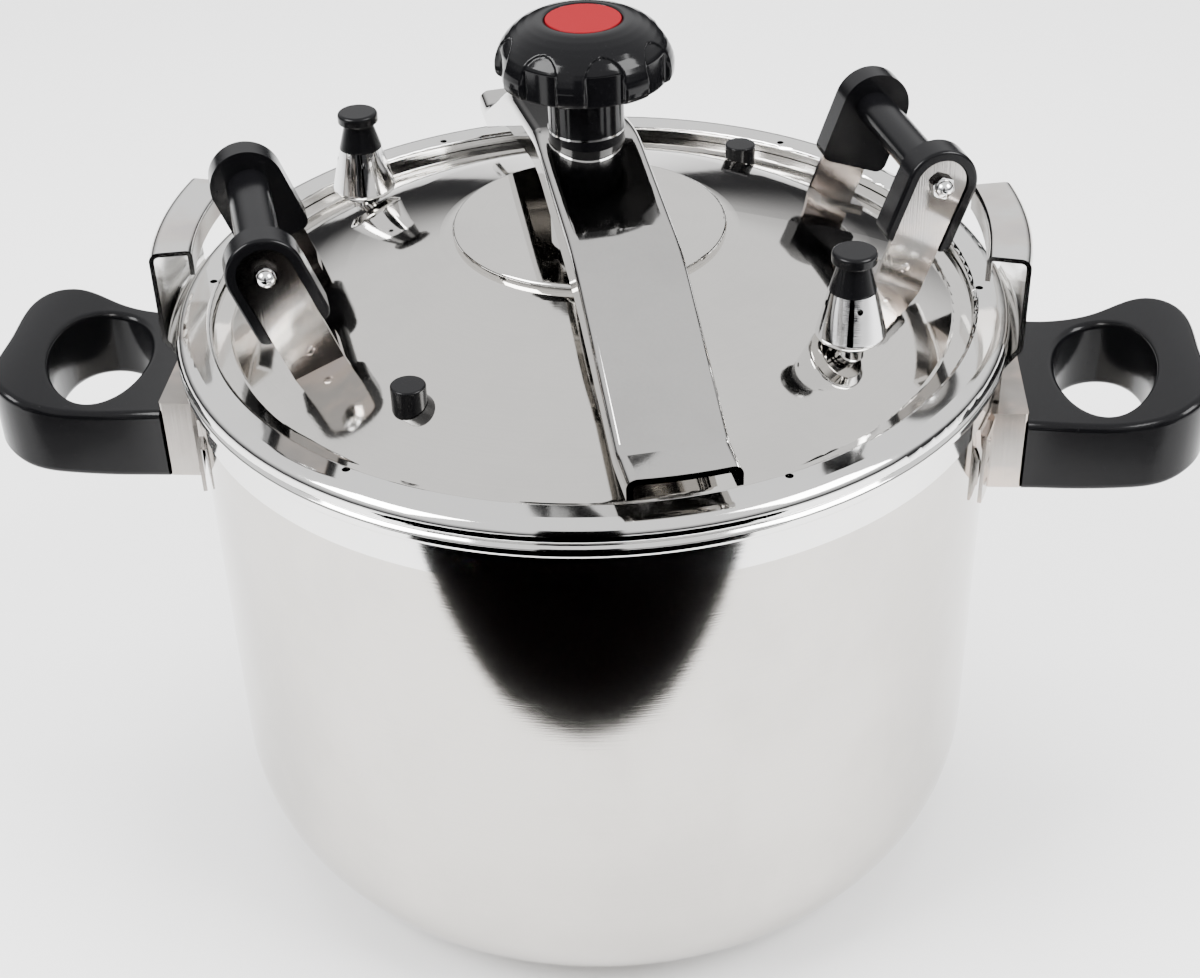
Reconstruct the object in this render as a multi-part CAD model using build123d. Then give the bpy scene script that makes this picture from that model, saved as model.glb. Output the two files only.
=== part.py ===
from build123d import *
import os
from math import cos, radians, sin, sqrt

# Large stovetop pressure cooker: a deep steel pot with a hollow rim ring, a domed lid that drops
# inside that ring onto a gasket, and a cross beam that a central screw raises against two hooked
# ears. Millimetres, +Z up. The origin is the middle of the flat base. +X runs through the right
# ear and the right side handle. The lid and its beam stand turned by LID_TURN, unlocked.

# ---- pot -----------------------------------------------------------------------------------------
BODY_R = 200.0           # outside radius of the straight wall
WALL = 1.6               # sheet of the pot
CORNER_R = 73.0          # outside radius between base and wall
LEDGE_Z = 306.5          # top of the inward ledge that carries the gasket
LEDGE_CORNER_R = 5.0
MOUTH_R = 176.5          # free opening inside the ledge
MOUTH_LIP = 8.0          # height of the turned-down edge of the mouth
MOUTH_LIP_R = 3.0

# ---- hollow rim ring -----------------------------------------------------------------------------
RING_T = 1.2
RING_TOP_Z = 318.5
RING_IN_R = 188.0        # inner leg, which guides the lid
RING_CREST_BEND_R = 7.0
RING_BEAD_R = 205.8      # greatest radius of the upper bead
RING_GROOVE_Z = 308.6
LOWER_BEAD_R = 205.2
RING_SHOULDER_Z = 300.0
RING_FOOT_Z = 284.0
VENT_R = 1.9             # six vent holes let the air out of the hollow ring
VENT_CIRCLE_R = 191.3
VENT_COUNT = 6

# ---- ears, saddles and handle brackets -----------------------------------------------------------
SADDLE_T = 2.0
SADDLE_HALF_DEG = 22.0
SADDLE_TOP_Z = 283.2
SADDLE_LOW_Z = 252.0
EAR_T = 2.4
EAR_HALF_DEG = 11.2
EAR_TOP_Z = 356.0
EAR_OUT_R = 213.0
EAR_IN_R = 192.0         # face of the inner lip: the lid passes inside it
EAR_LIP_Z = 342.8        # lower edge of the lip, which the beam end bears on
EAR_LEG_Z = 278.0
EAR_SLANT_TOP_Z = 308.0
EAR_SLANT_LOW_Z = 295.0
STOP_LOW_Z = 311.0       # tip of the web that closes one end of each ear
STOP_WAIST = (205.6, 332.0)
BRACKET_HALF_W = 50.0
BRACKET_T = 2.0
BRACKET_LOW_Z = 234.0
BRACKET_TOP_Z = 277.0
BRACKET_FACE_X = 214.0   # where the moulded handle starts
TAB_DEG = 5.0            # welded tabs on both sides of the bracket
BOLT_R = 3.0
HANDLE_BOLT_Y = 30.0
HANDLE_BOLT_Z = 255.0
HANDLE_BOLT_DEPTH = 9.0

# ---- side handles --------------------------------------------------------------------------------
HANDLE_OUT_X = 303.0
HANDLE_HALF_W = 58.0
HANDLE_EDGE_R = 3.5
HANDLE_HOLE_X = 257.0
HANDLE_HOLE_L = 48.0     # opening along X
HANDLE_HOLE_W = 86.0     # opening along Y

# ---- lid -----------------------------------------------------------------------------------------
LID_TURN = 15.0          # degrees between the ears' axis and the lid's own X axis at rest
LID_T = 2.0
LID_R = 187.2
LID_FLANGE_Z = 312.0     # top of the flat flange
LID_FLANGE_IN_R = 178.5
DOME_MID = (132.0, 331.6)
DOME_TOP_R = 70.0
DOME_TOP_Z = 351.0
DOME_BLEND_R = 260.0
DOME_SLOPE = (DOME_MID[1] - LID_FLANGE_Z) / (LID_FLANGE_IN_R - DOME_MID[0])
GASKET_GAP = 0.3
GASKET_IN_R = 178.6
GASKET_OUT_R = 187.4
DISC_R = 67.0
DISC_T = 4.0
DISC_EDGE_R = 1.8

# ---- screw, knob and beam ------------------------------------------------------------------------
SCREW_R = 8.0
SCREW_FOOT_R = 11.0
SCREW_PITCH = 3.0
THREAD_DEPTH = 0.8
THREAD_LOW_Z = 369.0
THREAD_TOP_Z = 393.0
SEAT_R = 19.0
SEAT_TOP_Z = 362.0
SEAT_POCKET_R = 11.3
KEEPER_T = 3.0
RUN_FIT = 0.06           # radial clearance of a shaft that turns in its hole
CLEAR = 0.2              # axial clearance between pieces that turn on each other
BEAM_T = 3.0
BEAM_HALF_W = 25.0
BEAM_EDGE_R = 5.0
BEAM_END_U = 201.0
BEAM_END_R = 202.6       # the beam's ends are rounded about the middle
BEAM_END_Z = 339.2
BEAM_APEX_Z = 401.7
BEAM_LOW = [(210, 328.8), (174, 328.8), (95, 365.0), (0, 386.5)]   # lower edge of its flanges
NUT_R = 16.0
NUT_LOW_Z = 376.0
RING_LOW_Z = 403.8       # bright ring in the sleeve
RING_H = 1.0
SLEEVE_R = 18.0          # moulded sleeve round the screw, fixed on the beam
SLEEVE_BORE_R = 8.6
SLEEVE_TOP_Z = 433.0
HEAD_R = 42.0
HEAD_LOW_Z = 429.5
HEAD_RECESS_R = 18.7     # the head comes down over the sleeve as the screw is tightened
HEAD_RECESS_Z = 437.0
HEAD_TOP_Z = 457.6
SCREW_TOP_R = 6.0        # reduced top of the spindle
KNOB_FLOOR_Z = 446.0
KNOB_POCKET_R = 11.5
NUT_TOP_Z = 451.0
SCALLOP_COUNT = 8
SCALLOP_R = 38.6         # floor of the finger scallops
SCALLOP_W = 20.0
SCALLOP_TURN = 2.7
BADGE_R = 17.7
BADGE_T = 2.4

# ---- lid handles ---------------------------------------------------------------------------------
GRIP_AZIMUTH = 1.8       # measured from the lid's X axis
GRIP_FOOT_R = 142.5
GRIP_LEAN = 20.0         # outward lean, which makes the strips square to the dome
STRIP_W = 25.4
STRIP_T = 2.5
STRIP_OUT_T = 52.1       # outer face of the strip, along the grip
STRIP_FOOT_L = 18.0
PIVOT_S = 51.6           # bolt height above the foot, along the strip
CAP_R = 18.0
CAP_LOW_S = 18.6
CAP_IN_T = 39.5
CAP_OUT_T = 53.6
CAP_SLOT_R = 13.2
CAP_FLOOR_T = 49.4
GRIP_W = 21.0
GRIP_H = 17.5
GRIP_BOLT_R = 3.0
NUT_HEX_R = 5.8
NUT_HEX_H = 3.4

# ---- pressure valves and safety plugs ------------------------------------------------------------
FITTING_R = 144.7        # circle of all four fittings
VALVE_AZIMUTH = 134.4
PLUG_AZIMUTH = 44.7
FITTING_Z = 326.2        # dome height on that circle
STEM_COLLAR_R = 6.5
PIPE_R = 4.6
PIPE_TOP_Z = 346.0
WEIGHT_LOW_Z = 331.8
WEIGHT_WIDE_Z = 335.6
WEIGHT_TOP_Z = 358.5
WEIGHT_LOW_R = 12.0
WEIGHT_WIDE_R = 16.6
WEIGHT_TOP_R = 11.0
WEIGHT_BORE_R = 5.2
WEIGHT_VENT_R = 1.4
WEIGHT_VENT_Z = 352.8
WEIGHT_BORE_Z = 355.0
CAP_NECK_R = 7.4
CAP_NECK_Z = 371.5
CAP_HEAD_R = 10.4
CAP_TOP_Z = 378.0
FIT_NUT_R = 9.0
FIT_NUT_T = 5.0
PLUG_R = 8.1
PLUG_TOP_Z = 336.8
PLUG_STEM_R = 3.6
PLUG_BORE_R = 4.0
PLUG_KEEP_Z = 309.0      # top of the keeper, clear of the shank by more than the travel
SOCKET_R = 5.8
SOCKET_TOP_Z = 330.6
PLUG_GAP = 0.4           # air between the cap of a plug and the dome
SLOT_R = 5.0             # threaded shank of each fitting through the lid


def shifted(points, radii, distance):
    """Corners and bend radii of a line moved to its left by a distance."""
    normals = []
    for (x0, y0), (x1, y1) in zip(points, points[1:]):
        length = sqrt((x1 - x0) ** 2 + (y1 - y0) ** 2)
        normals.append(((y0 - y1) / length, (x1 - x0) / length))
    first, last = normals[0], normals[-1]
    moved = [(points[0][0] + distance * first[0], points[0][1] + distance * first[1])]
    moved_radii = []
    for corner, before, after, radius in zip(points[1:-1], normals, normals[1:], radii):
        share = distance / (1 + before[0] * after[0] + before[1] * after[1])
        step_x = share * (before[0] + after[0])
        step_y = share * (before[1] + after[1])
        moved.append((corner[0] + step_x, corner[1] + step_y))
        turn = before[0] * after[1] - before[1] * after[0]
        moved_radii.append(radius - distance if turn > 0 else radius + distance)
    moved.append((points[-1][0] + distance * last[0], points[-1][1] + distance * last[1]))
    return moved, moved_radii


def bent_sheet(points, radii, thickness):
    """Face of a bent sheet. Its skin follows the points and the sheet lies to their left."""
    inner, inner_radii = shifted(points, radii, thickness)
    skin = FilletPolyline(*points, radius=list(radii))
    back = FilletPolyline(*inner, radius=inner_radii)
    ends = [Line(points[0], inner[0]), Line(points[-1], inner[-1])]
    return make_face([*skin.edges(), *back.edges(), *ends])


def turned(outline):
    """Solid of revolution about Z of a flat face drawn as (radius, height)."""
    return revolve(Plane.XZ * outline, Axis.Z)


def turned_points(*points):
    """Solid of revolution of a closed outline of straight lines."""
    return turned(make_face(Polyline(*points, close=True)))


def tube(radius, low, high, bore=0.0):
    """Upright round bar or tube between two heights."""
    bar = Pos(0, 0, (low + high) / 2) * Cylinder(radius, high - low)
    if bore:
        bar -= Pos(0, 0, (low + high) / 2) * Cylinder(bore, high - low + 1)
    return bar


def hex_bar(radius, low, high):
    """Upright hexagonal bar between two heights; radius reaches its corners."""
    return Pos(0, 0, low) * extrude(RegularPolygon(radius, 6), high - low)


def sector(inner, outer, low, high, half_deg, middle_deg=0.0):
    """Block of a ring between two radii, heights and angles."""
    ring = tube(outer, low, high, inner)
    reach = 2 * outer
    edge = (reach * cos(radians(half_deg)), reach * sin(radians(half_deg)))
    wedge = make_face(Polyline((0, 0), edge, (edge[0], -edge[1]), close=True))
    block = ring & Pos(0, 0, low - 1) * extrude(wedge, high - low + 2)
    return Rot(0, 0, middle_deg) * block


def side(piece, right=True):
    """The same piece on the right, or half a turn round on the left."""
    return piece if right else Rot(0, 0, 180) * piece


def save(node, *shapes):
    """Writes one node, made of one or more separate solids."""
    solids = [solid for shape in shapes for solid in shape.solids()]
    whole = solids[0] if len(solids) == 1 else Compound(children=solids)
    export_step(whole, f"parts/{node}.step")


def pot_body():
    """Deep drawn pot: flat base, round corner, straight wall, inward ledge, turned-down mouth."""
    skin = [
        (0, 0),
        (BODY_R, 0),
        (BODY_R, LEDGE_Z),
        (MOUTH_R, LEDGE_Z),
        (MOUTH_R, LEDGE_Z - MOUTH_LIP),
    ]
    return turned(bent_sheet(skin, [CORNER_R, LEDGE_CORNER_R, MOUTH_LIP_R], WALL))


def rim_ring():
    """Hollow rim: a collar on the wall, the lower bead, the upper bead, the crest, the inner leg."""
    collar_r = BODY_R + RING_T
    skin = [
        (collar_r, RING_FOOT_Z),
        (collar_r, RING_SHOULDER_Z),
        (LOWER_BEAD_R + 0.5, RING_SHOULDER_Z + 2.2),
        (LOWER_BEAD_R + 0.5, RING_GROOVE_Z - 2.2),
        (RING_BEAD_R - 2.6, RING_GROOVE_Z),
        (RING_BEAD_R, RING_GROOVE_Z + 1.4),
        (RING_BEAD_R, RING_TOP_Z),
        (RING_IN_R, RING_TOP_Z),
        (RING_IN_R, LEDGE_Z),
    ]
    radii = [0.8, 2.0, 2.0, 0.5, 1.4, RING_CREST_BEND_R, 2.2]
    ring = turned(bent_sheet(skin, radii, RING_T))
    for hole in range(VENT_COUNT):
        place = Rot(0, 0, 360 / VENT_COUNT * hole) * Pos(VENT_CIRCLE_R, 0, RING_TOP_Z)
        ring -= place * Cylinder(VENT_R, 4 * RING_T)
    return ring


def saddle():
    """Reinforcing plate welded round the wall behind the ear and the handle bracket."""
    plate = sector(BODY_R, BODY_R + SADDLE_T, SADDLE_LOW_Z, SADDLE_TOP_Z, SADDLE_HALF_DEG)
    reach = BODY_R * sin(radians(SADDLE_HALF_DEG))
    cut = make_face(Polyline((reach + 9, 0), (reach + 9, 60), (reach - 5, 20), (reach - 22, 0),
                             close=True))
    corner = extrude(Plane.YZ * cut, 2 * BODY_R)
    corner = Pos(0, 0, SADDLE_LOW_Z - 1) * corner
    return plate - corner - mirror(corner, about=Plane.XZ)


def ear():
    """Hooked ear: leg on the saddle, slanted step over the beads, wall, top plate, inner lip."""
    leg_r = BODY_R + SADDLE_T + EAR_T
    skin = [
        (leg_r, EAR_LEG_Z),
        (leg_r, EAR_SLANT_LOW_Z),
        (EAR_OUT_R, EAR_SLANT_TOP_Z),
        (EAR_OUT_R, EAR_TOP_Z),
        (EAR_IN_R, EAR_TOP_Z),
        (EAR_IN_R, EAR_LIP_Z),
    ]
    hook = turned(bent_sheet(skin, [6.0, 6.0, 5.0, 3.2], EAR_T))
    body = hook & sector(150, 250, EAR_LEG_Z - 5, EAR_TOP_Z + 5, EAR_HALF_DEG)
    low_in = (EAR_IN_R + EAR_T / 2, EAR_LIP_Z)
    low_out = (EAR_OUT_R - EAR_T / 2, STOP_LOW_Z)
    top_z = EAR_TOP_Z - EAR_T / 2
    outline = [
        Line(low_in, (low_in[0], top_z)),
        Line((low_in[0], top_z), (low_out[0], top_z)),
        Line((low_out[0], top_z), low_out),
        ThreePointArc(low_out, STOP_WAIST, low_in),
    ]
    flap = turned(make_face(outline)) & sector(150, 250, 0, 400, 0.35, 0.35 - EAR_HALF_DEG)
    return body + flap


def bracket():
    """Box section bent from sheet between the saddle and the moulded handle, with welded tabs."""
    wall_r = BODY_R + SADDLE_T
    depth = BRACKET_FACE_X - 150
    height = BRACKET_TOP_Z - BRACKET_LOW_Z
    middle_z = (BRACKET_TOP_Z + BRACKET_LOW_Z) / 2
    middle_x = BRACKET_FACE_X - depth / 2
    box = Pos(middle_x, 0, middle_z) * Box(depth, 2 * BRACKET_HALF_W, height)
    upright = box.edges().filter_by(Axis.Z).group_by(Axis.X)[-1]
    box = fillet(upright, 1.5)
    hollow = Pos(middle_x - BRACKET_T, 0, middle_z) * Box(
        depth, 2 * (BRACKET_HALF_W - BRACKET_T), height - 2 * BRACKET_T
    )
    box = box - hollow - tube(wall_r, BRACKET_LOW_Z - 1, BRACKET_TOP_Z + 1)
    edge_deg = 14.2
    for sign in (1, -1):
        tab = sector(wall_r, wall_r + BRACKET_T, BRACKET_LOW_Z + 2, BRACKET_TOP_Z - 2,
                     TAB_DEG / 2, sign * (edge_deg + TAB_DEG / 2))
        box += tab
    for y in (-HANDLE_BOLT_Y, HANDLE_BOLT_Y):
        box -= Pos(BRACKET_FACE_X, y, HANDLE_BOLT_Z) * Rot(0, 90, 0) * Cylinder(BOLT_R + 0.3, 20)
    return box


def side_handle():
    """Moulded side handle: flared plan, oval finger hole, and a top that rises outwards."""
    face_x = BRACKET_FACE_X
    top = Spline((face_x, 272.5), (238, 271.5), (262, 274.8), (284, 283.0), (HANDLE_OUT_X + 3, 285.5))
    low = Spline((face_x, 233.5), (245, 234.0), (272, 239.5), (290, 245.5), (HANDLE_OUT_X + 3, 249.0))
    ends = [Line(top @ 0, low @ 0), Line(top @ 1, low @ 1)]
    profile = make_face([*top.edges(), *low.edges(), *ends])
    handle = extrude(Plane.XZ * profile, HANDLE_HALF_W + 10, both=True)
    half = [(face_x, 52), (240, 52.3), (262, HANDLE_HALF_W - 2), (282, HANDLE_HALF_W), (297, 47)]
    rim = Spline(*half, (HANDLE_OUT_X, 0), *[(x, -y) for x, y in reversed(half)])
    plan = make_face([*rim.edges(), Line(rim @ 0, rim @ 1)])
    handle &= Pos(0, 0, 200) * extrude(plan, 120)
    handle -= Pos(HANDLE_HOLE_X, 0, 200) * extrude(
        Ellipse(HANDLE_HOLE_L / 2, HANDLE_HOLE_W / 2), 120
    )
    rims = [edge for edge in handle.edges() if abs(edge.center().X - face_x) > 3]
    handle = fillet([edge for edge in rims if edge.geom_type != GeomType.LINE], HANDLE_EDGE_R)
    for y in (-HANDLE_BOLT_Y, HANDLE_BOLT_Y):
        handle -= Pos(face_x, y, HANDLE_BOLT_Z) * Rot(0, 90, 0) * Cylinder(
            BOLT_R, 2 * HANDLE_BOLT_DEPTH
        )
    return handle


def handle_bolts():
    """Two bolts that hold the moulding to its bracket from inside the bracket."""
    bolts = []
    for y in (-HANDLE_BOLT_Y, HANDLE_BOLT_Y):
        shank_l = HANDLE_BOLT_DEPTH + BRACKET_T - CLEAR
        shank = Pos(BRACKET_FACE_X - BRACKET_T + shank_l / 2, y, HANDLE_BOLT_Z) * Rot(
            0, 90, 0
        ) * Cylinder(BOLT_R, shank_l)
        head = Pos(BRACKET_FACE_X - BRACKET_T - 2.0, y, HANDLE_BOLT_Z) * Rot(
            0, 90, 0
        ) * Cylinder(5.2, 4.0)
        bolts.append(shank + head)
    return bolts


def dome_skin():
    """Corners of the lid's outer skin from the rim inwards, with the radii of its bends."""
    points = [
        (LID_R, LID_FLANGE_Z),
        (LID_FLANGE_IN_R, LID_FLANGE_Z),
        DOME_MID,
        (DOME_TOP_R, DOME_TOP_Z),
        (0, DOME_TOP_Z),
    ]
    return points, [4.0, DOME_BLEND_R, 24.0]


def lid_shell():
    """Pressed lid: flat flange, dome and flat crown, with a hole for each fitting."""
    points, radii = dome_skin()
    shell = turned(bent_sheet(points, radii, LID_T))
    for azimuth in (VALVE_AZIMUTH, PLUG_AZIMUTH):
        for half in (0, 180):
            place = Rot(0, 0, azimuth + half) * Pos(FITTING_R, 0, FITTING_Z)
            shell -= place * Cylinder(SLOT_R, 40)
    return shell


def dome_block(rise=0.0):
    """Everything under the lid's outer skin, or under that skin raised or sunk by a distance."""
    points, radii = dome_skin()
    points, radii = shifted(points, radii, -rise)
    skin = FilletPolyline(*points, radius=radii)
    outer_r, outer_z = points[0]
    top_z = points[-1][1]
    floor = [
        Line((0, top_z), (0, 250)),
        Line((0, 250), (outer_r, 250)),
        Line((outer_r, 250), (outer_r, outer_z)),
    ]
    return turned(make_face([*skin.edges(), *floor]))


def gasket():
    """Flat rubber ring with two sealing beads, under the lid's flange."""
    low = LEDGE_Z + GASKET_GAP
    high = LID_FLANGE_Z - LID_T - GASKET_GAP
    middle = (GASKET_IN_R + GASKET_OUT_R) / 2
    groove = 0.8
    return turned_points(
        (GASKET_IN_R, low), (middle - 1.5, low), (middle, low + groove), (middle + 1.5, low),
        (GASKET_OUT_R, low), (GASKET_OUT_R, high), (middle + 1.5, high),
        (middle, high - groove), (middle - 1.5, high), (GASKET_IN_R, high),
    )


def centre_disc():
    """Thick disc welded on the crown to spread the load of the screw."""
    disc = tube(DISC_R, DOME_TOP_Z, DOME_TOP_Z + DISC_T)
    rim = disc.edges().sort_by(Axis.Z)[-1]
    return fillet(rim, DISC_EDGE_R)


def screw_seat():
    """Cup on the disc that takes the thrust of the screw's foot."""
    low = DOME_TOP_Z + DISC_T
    cup = tube(SEAT_R, low, SEAT_TOP_Z)
    return cup - tube(SEAT_POCKET_R, low + 2.0, SEAT_TOP_Z + 1)


def seat_keeper():
    """Ring fixed over the cup, which keeps the foot of the screw in it."""
    return tube(SEAT_R, SEAT_TOP_Z, SEAT_TOP_Z + KEEPER_T, SCREW_R + RUN_FIT)


def screw():
    """Spindle with a foot, a thread drawn as rings one pitch apart, and a reduced top."""
    foot_low = DOME_TOP_Z + DISC_T + 2.0 + CLEAR
    bar = tube(SCREW_FOOT_R, foot_low, SEAT_TOP_Z - CLEAR)
    bar += tube(SCREW_R, SEAT_TOP_Z - CLEAR, HEAD_RECESS_Z)
    bar += tube(SCREW_TOP_R, HEAD_RECESS_Z, NUT_TOP_Z + 1.5)
    turns = int((THREAD_TOP_Z - THREAD_LOW_Z) / SCREW_PITCH)
    for number in range(turns):
        low = THREAD_LOW_Z + number * SCREW_PITCH
        bar -= turned_points(
            (SCREW_R + 1, low), (SCREW_R - THREAD_DEPTH, low + 0.9),
            (SCREW_R - THREAD_DEPTH, low + 1.5), (SCREW_R + 1, low + 2.4),
        )
    return bar


def beam_line(corners):
    """The same corners on both arms of the beam, from its right end to its left end."""
    return corners + [(-u, z) for u, z in reversed(corners[:-1])]


def beam_block(drop, half_width, edge_r, low):
    """Solid arm of the beam: top line lowered by a distance, down to the low corners."""
    top = beam_line([(BEAM_END_U + 9, BEAM_END_Z), (180, BEAM_END_Z), (95, 385.4), (0, BEAM_APEX_Z)])
    top, top_radii = shifted(top, [14, 110, 80, 110, 14], drop)
    low = beam_line(low)
    top_line = FilletPolyline(*top, radius=top_radii)
    low_line = FilletPolyline(*low, radius=[14, 100, 80, 100, 14])
    ends = [Line(top[0], low[0]), Line(top[-1], low[-1])]
    outline = make_face([*top_line.edges(), *low_line.edges(), *ends])
    block = extrude(Plane.XZ * outline, half_width, both=True)
    crest = [face for face in block.faces() if face.normal_at().Z > 0.6]
    ridge = [
        edge for face in crest for edge in face.edges() if abs(abs(edge.center().Y) - half_width) < 0.01
    ]
    return fillet(ridge, edge_r)


def beam_hollow():
    """The space inside the beam's channel."""
    low = [(BEAM_END_U + 9, 300), (174, 300), (95, 310), (0, 320)]
    return beam_block(BEAM_T, BEAM_HALF_W - BEAM_T, BEAM_EDGE_R - BEAM_T, low)


def beam():
    """Arched channel: top plate with rounded edges and two flanges, level at both ends."""
    arch = beam_block(0, BEAM_HALF_W, BEAM_EDGE_R, BEAM_LOW) - beam_hollow()
    arch &= tube(BEAM_END_R, 300, 420)
    return arch - tube(SCREW_R + 1, 380, 420)


def beam_nut():
    """Threaded boss welded under the middle of the beam."""
    return tube(NUT_R, NUT_LOW_Z, 410, SCREW_R + RUN_FIT) & beam_hollow()


def sleeve_base():
    """Foot of the sleeve, shaped to the top of the beam."""
    base = tube(SLEEVE_R, 390, RING_LOW_Z, SLEEVE_BORE_R)
    return base - beam_block(0, BEAM_HALF_W, BEAM_EDGE_R, BEAM_LOW)


def sleeve_ring():
    """Thin bright ring between the foot of the sleeve and its upper part."""
    return tube(SLEEVE_R + 0.4, RING_LOW_Z, RING_LOW_Z + RING_H, SLEEVE_BORE_R)


def sleeve():
    """Upper part of the sleeve, which ends inside the head of the knob."""
    return tube(SLEEVE_R, RING_LOW_Z + RING_H, SLEEVE_TOP_Z, SLEEVE_BORE_R)


def knob_head():
    """Round head with finger scallops, a recess for the sleeve, and pockets for nut and badge."""
    outline = FilletPolyline(
        (SCREW_TOP_R, HEAD_LOW_Z), (HEAD_R - 0.6, HEAD_LOW_Z), (HEAD_R + 0.5, 437), (38.5, 447.5),
        (30.5, 456.2), (18, HEAD_TOP_Z + 0.4), (SCREW_TOP_R, HEAD_TOP_Z + 0.4), close=True,
        radius=[0, 3, 4, 8, 6, 0, 0],
    )
    head = turned(make_face(outline))
    reach = (SCALLOP_W ** 2 / 4 + (HEAD_R - SCALLOP_R) ** 2) / (2 * (HEAD_R - SCALLOP_R))
    for number in range(SCALLOP_COUNT):
        place = Rot(0, 0, SCALLOP_TURN + 360 / SCALLOP_COUNT * number)
        head -= place * Pos(SCALLOP_R + reach, 0, HEAD_LOW_Z) * Cylinder(reach, 60)
    head -= tube(HEAD_RECESS_R, HEAD_LOW_Z - 1, HEAD_RECESS_Z)
    head -= tube(KNOB_POCKET_R, KNOB_FLOOR_Z, HEAD_TOP_Z + 2)
    head -= tube(BADGE_R + 0.3, HEAD_TOP_Z - BADGE_T, HEAD_TOP_Z + 2)
    return head


def knob_badge():
    """Red disc set flush into the crown of the knob."""
    badge = tube(BADGE_R, HEAD_TOP_Z - BADGE_T, HEAD_TOP_Z)
    return fillet(badge.edges().sort_by(Axis.Z)[-1], 0.5)


def knob_nut():
    """Nut that holds the knob on the reduced top of the spindle."""
    return hex_bar(10.0, KNOB_FLOOR_Z, NUT_TOP_Z) - tube(SCREW_TOP_R, 400, 470)


def grip_place(half=0):
    """Places a piece drawn upright on its foot onto the dome, leaning outwards."""
    foot_z = FITTING_Z + (FITTING_R - GRIP_FOOT_R) * DOME_SLOPE
    return Rot(0, 0, GRIP_AZIMUTH + half) * Pos(GRIP_FOOT_R, 0, foot_z) * Rot(0, GRIP_LEAN, 0)


def cross_bar(radius, low, high):
    """Round bar along the grip at the height of its bolt."""
    return Pos(0, (low + high) / 2, PIVOT_S) * Rot(90, 0, 0) * Cylinder(radius, high - low)


def handle_strip(half, way):
    """Steel strip from its welded foot on the dome up to the bolt of the grip."""
    tall = PIVOT_S + 20
    middle = STRIP_OUT_T - STRIP_T / 2
    blade = Pos(0, middle, tall / 2 - 20) * Box(STRIP_W, STRIP_T, tall)
    blade += cross_bar(STRIP_W / 2, STRIP_OUT_T - STRIP_T, STRIP_OUT_T)
    blade -= cross_bar(GRIP_BOLT_R, 0, 80)
    foot = Pos(0, STRIP_OUT_T - STRIP_FOOT_L / 2, 0) * Box(STRIP_W, STRIP_FOOT_L, 60)
    flip = Rot(0, 0, 0) if way > 0 else None
    blade = blade if flip else mirror(blade, about=Plane.XZ)
    foot = foot if flip else mirror(foot, about=Plane.XZ)
    blade = (grip_place(half) * blade) - dome_block()
    foot = ((grip_place(half) * foot) & dome_block(STRIP_T)) - dome_block()
    return blade + foot


def grip_cap(half, way):
    """Moulded end cap with a rounded top and a channel that takes the strip."""
    plate_t = CAP_OUT_T - CAP_IN_T
    middle = (CAP_OUT_T + CAP_IN_T) / 2
    low = PIVOT_S - CAP_LOW_S
    cap = Pos(0, middle, PIVOT_S - low / 2) * Box(2 * CAP_R, plate_t, low)
    cap = fillet(cap.edges().filter_by(Axis.Y).group_by(Axis.Z)[0], 5)
    cap += cross_bar(CAP_R, CAP_IN_T, CAP_OUT_T)
    cap = fillet([e for e in cap.edges() if abs(e.center().Y - CAP_OUT_T) < 0.01], 1.6)
    slot = cross_bar(CAP_SLOT_R, CAP_FLOOR_T, 80)
    slot += Pos(0, (CAP_FLOOR_T + 80) / 2, PIVOT_S / 2) * Box(2 * CAP_SLOT_R, 80 - CAP_FLOOR_T, PIVOT_S)
    cap -= slot
    cap -= cross_bar(GRIP_BOLT_R, 0, 80)
    cap = cap if way > 0 else mirror(cap, about=Plane.XZ)
    return grip_place(half) * cap


def grip_bar(half):
    """Moulded oval bar between the two caps."""
    oval = Ellipse(GRIP_W / 2, GRIP_H / 2)
    bar = Pos(0, 0, PIVOT_S) * Rot(90, 0, 0) * extrude(oval, CAP_IN_T, both=True)
    bar -= cross_bar(GRIP_BOLT_R, -80, 80)
    return grip_place(half) * bar


def grip_bolt(half):
    """Through bolt of a lid handle with a dome nut on each end."""
    bolt = cross_bar(GRIP_BOLT_R, -STRIP_OUT_T, STRIP_OUT_T)
    for way in (-1, 1):
        nut = extrude(RegularPolygon(NUT_HEX_R, 6), NUT_HEX_H)
        dome = Pos(0, 0, NUT_HEX_H) * Sphere(NUT_HEX_R * 0.78)
        dome &= Pos(0, 0, NUT_HEX_H + 5) * Cylinder(9, 10)
        bolt += Pos(0, way * STRIP_OUT_T, PIVOT_S) * Rot(-90 * way, 0, 0) * (nut + dome)
    return grip_place(half) * bolt


def valve_stem():
    """Fixed pipe of a pressure valve: collar on the dome, pipe, and shank through the lid."""
    stem = tube(STEM_COLLAR_R, 300, FITTING_Z + 3.4)
    stem = stem - Pos(-FITTING_R, 0, 0) * dome_block()
    stem += tube(PIPE_R, FITTING_Z - 12, PIPE_TOP_Z)
    return stem - tube(1.5, 200, 400)


def fitting_nut():
    """Hexagonal nut that holds a fitting from inside the lid."""
    nut = hex_bar(FIT_NUT_R, FITTING_Z - LID_T - FIT_NUT_T - 4, 400)
    return nut & Pos(-FITTING_R, 0, 0) * dome_block(-LID_T)


def valve_nut():
    """Nut of a pressure valve, bored for its pipe."""
    return fitting_nut() - tube(PIPE_R, 200, 400)


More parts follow.
